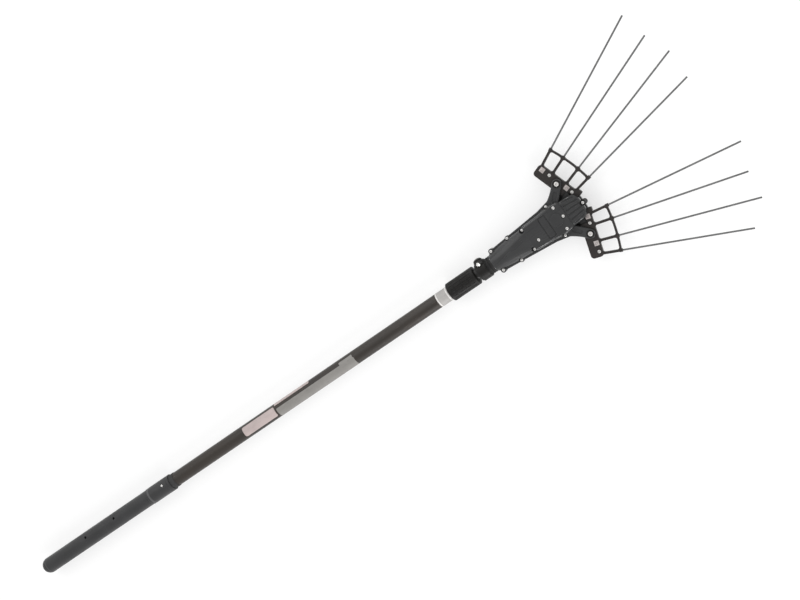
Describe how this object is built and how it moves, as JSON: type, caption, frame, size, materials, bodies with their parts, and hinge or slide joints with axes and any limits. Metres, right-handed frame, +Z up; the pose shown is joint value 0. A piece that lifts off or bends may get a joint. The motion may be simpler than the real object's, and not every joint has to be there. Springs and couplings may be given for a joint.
{
  "type": "electric olive harvester",
  "caption": "Telescopic pole harvester with a cylindrical grip, a twist lock and a motor head that swings two rod combs like clapping hands to shake olives off branches.",
  "frame": {"origin": "on the floor, on the flat belly of the head, under the crank's axis and on the pole's centre line", "axes": "+X along the pole from the grip towards the rods, +Y to the side of the left comb, +Z up, with the tool lying flat on the head's belly"},
  "size_m": [2.0381, 0.5529, 0.0632],
  "materials": {
    "grip_plastic": "fine-grained dark grey moulding",
    "collar_plastic": "smooth dark grey moulding",
    "pole_tube": "dark anodised tube",
    "inner_tube": "dark anodised drawn tube",
    "black_plastic": "black moulding",
    "lock_nylon": "natural nylon",
    "casing_plastic": "fine-grained dark grey moulding",
    "screw_steel": "bright zinc plate",
    "dark_steel": "blackened",
    "pivot_steel": "bright zinc plate",
    "nut_steel": "dull zinc plate",
    "comb_plastic": "dark fibre-filled moulding",
    "rod_fibre": "drawn fibre rod",
    "seal_rubber": "grey rubber",
    "button_rubber": "black rubber",
    "socket_plastic": "black moulding",
    "contact_brass": "plain brass",
    "board_green": "coated board",
    "motor_steel": "zinc-plated sheet",
    "gear_steel": "machined, oiled",
    "bearing_steel": "ground",
    "bulkhead_alloy": "machined casting",
    "guide_bronze": "bearing bronze",
    "rocker_steel": "blackened laser-cut plate"
  },
  "bodies": {
    "pole": {"outer_tube": "pole_tube", "grip_upper_shell": "grip_plastic", "grip_lower_shell": "grip_plastic", "grip_screws": "dark_steel", "butt_cap": "grip_plastic", "inlet_socket": "socket_plastic", "inlet_contacts": "contact_brass", "grip_collar": "collar_plastic", "collar_screw": "screw_steel", "collar_seal": "seal_rubber", "control_board": "board_green", "switch_body": "socket_plastic", "lock_body": "lock_nylon", "lock_collet": "lock_nylon"},
    "lock": {"lock_sleeve": "black_plastic"},
    "button": {"switch_button": "button_rubber"},
    "head": {"inner_tube": "inner_tube", "tube_bush": "lock_nylon", "head_upper_shell": "casing_plastic", "head_lower_shell": "casing_plastic", "housing_screws": "screw_steel", "cover_screws": "screw_steel", "neck_clamp": "black_plastic", "clamp_bolt": "screw_steel", "clamp_nut": "screw_steel", "motor_can": "motor_steel", "bearing_bulkhead": "bulkhead_alloy", "pinion_bearing": "bearing_steel", "crank_bearing": "bearing_steel", "guide_rails": "guide_bronze", "guide_shoe": "guide_bronze", "pivot_bolts": "pivot_steel", "pivot_nuts": "pivot_steel"},
    "rotor": {"motor_rotor": "motor_steel", "drive_pinion": "gear_steel"},
    "crank": {"crank_gear": "gear_steel", "crank_pin": "gear_steel"},
    "crosshead": {"crosshead": "bulkhead_alloy"},
    "comb_left": {"left_comb_top_half": "comb_plastic", "left_comb_bottom_half": "comb_plastic", "left_comb_bolts": "screw_steel", "left_comb_nuts": "nut_steel", "left_rocker_arm": "rocker_steel", "left_drive_pin": "gear_steel", "left_pivot_bush": "guide_bronze", "left_rod_1": "rod_fibre", "left_rod_2": "rod_fibre", "left_rod_3": "rod_fibre", "left_rod_4": "rod_fibre"},
    "comb_right": {"right_comb_top_half": "comb_plastic", "right_comb_bottom_half": "comb_plastic", "right_comb_bolts": "screw_steel", "right_comb_nuts": "nut_steel", "right_rocker_arm": "rocker_steel", "right_drive_pin": "gear_steel", "right_pivot_bush": "guide_bronze", "right_rod_1": "rod_fibre", "right_rod_2": "rod_fibre", "right_rod_3": "rod_fibre", "right_rod_4": "rod_fibre"}
  },
  "joints": [
    {"name": "lock_turn", "type": "hinge", "parent": "pole", "child": "lock", "pos_m": [-0.267, 0, 0.031], "axis": [1, 0, 0], "range_deg": [0, 90]},
    {"name": "button_push", "type": "slide", "parent": "pole", "child": "button", "axis": [0, 0, 1], "range_m": [0, 0.002], "stiffness_N_per_m": 800},
    {"name": "pole_extend", "type": "slide", "parent": "pole", "child": "head", "axis": [1, 0, 0], "range_m": [0, 0.65]},
    {"name": "comb_left_swing", "type": "hinge", "parent": "head", "child": "comb_left", "pos_m": [0.045, 0.0676, 0.031], "axis": [0, 0, 1], "range_deg": [-9.5, 9.5]},
    {"name": "comb_right_swing", "type": "hinge", "parent": "head", "child": "comb_right", "pos_m": [0.045, -0.0676, 0.031], "axis": [0, 0, 1], "range_deg": [-9.5, 9.5]},
    {"name": "crosshead_slide", "type": "slide", "parent": "head", "child": "crosshead", "axis": [1, 0, 0], "range_m": [-0.0077, 0.0077]},
    {"name": "crank_spin", "type": "hinge", "parent": "head", "child": "crank", "pos_m": [0, 0, 0.031], "axis": [0, 0, 1], "range_deg": [-46, 46]},
    {"name": "rotor_spin", "type": "hinge", "parent": "head", "child": "rotor", "pos_m": [-0.06, 0, 0.031], "axis": [1, 0, 0], "range_deg": [-137, 137]}
  ],
  "couplings": [
    {"joint": "comb_right_swing", "follows": "comb_left_swing", "ratio": -1},
    {"joint": "crosshead_slide", "follows": "comb_left_swing", "m_per_rad": 0.046},
    {"joint": "crank_spin", "follows": "comb_left_swing", "ratio": -4.756},
    {"joint": "rotor_spin", "follows": "comb_left_swing", "ratio": 14.268}
  ]
}
